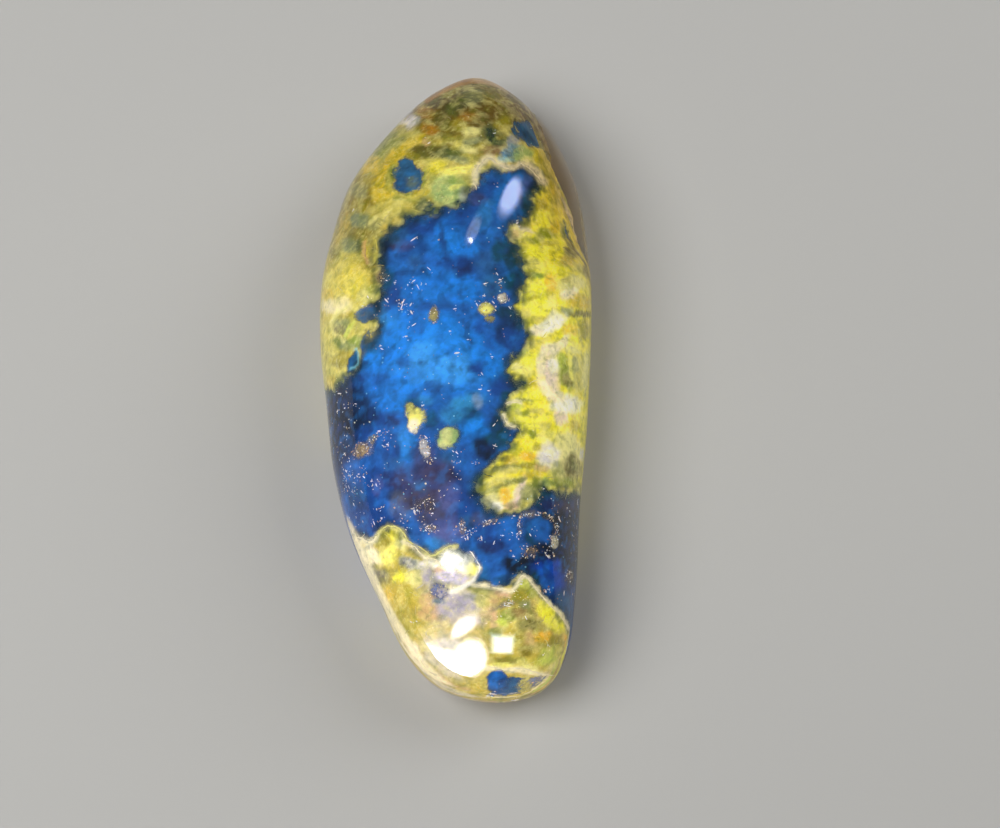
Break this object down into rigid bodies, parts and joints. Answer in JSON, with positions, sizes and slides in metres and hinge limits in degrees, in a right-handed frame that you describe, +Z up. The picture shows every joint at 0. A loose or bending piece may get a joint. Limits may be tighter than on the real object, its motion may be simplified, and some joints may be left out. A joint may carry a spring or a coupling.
{
  "type": "polished blue amber",
  "caption": "Free-form polished blue amber: a long clear dome over a mottled blue and honey-yellow inside, tapering to one end and lying on its flat back.",
  "frame": {"origin": "middle of the flat back, halfway along and across the stone's outline, on the surface it lies on", "axes": "+Y along the stone to its broad rounded end, -Y to the end that tapers to one side, +X across the stone to its straighter side, +Z up from the flat back to the dome"},
  "size_m": [0.011, 0.0264, 0.0064],
  "materials": {
    "amber": "polished, clear honey resin over a mottled blue and yellow inside"
  },
  "bodies": {
    "root": {"amber": "amber"}
  },
  "joints": []
}
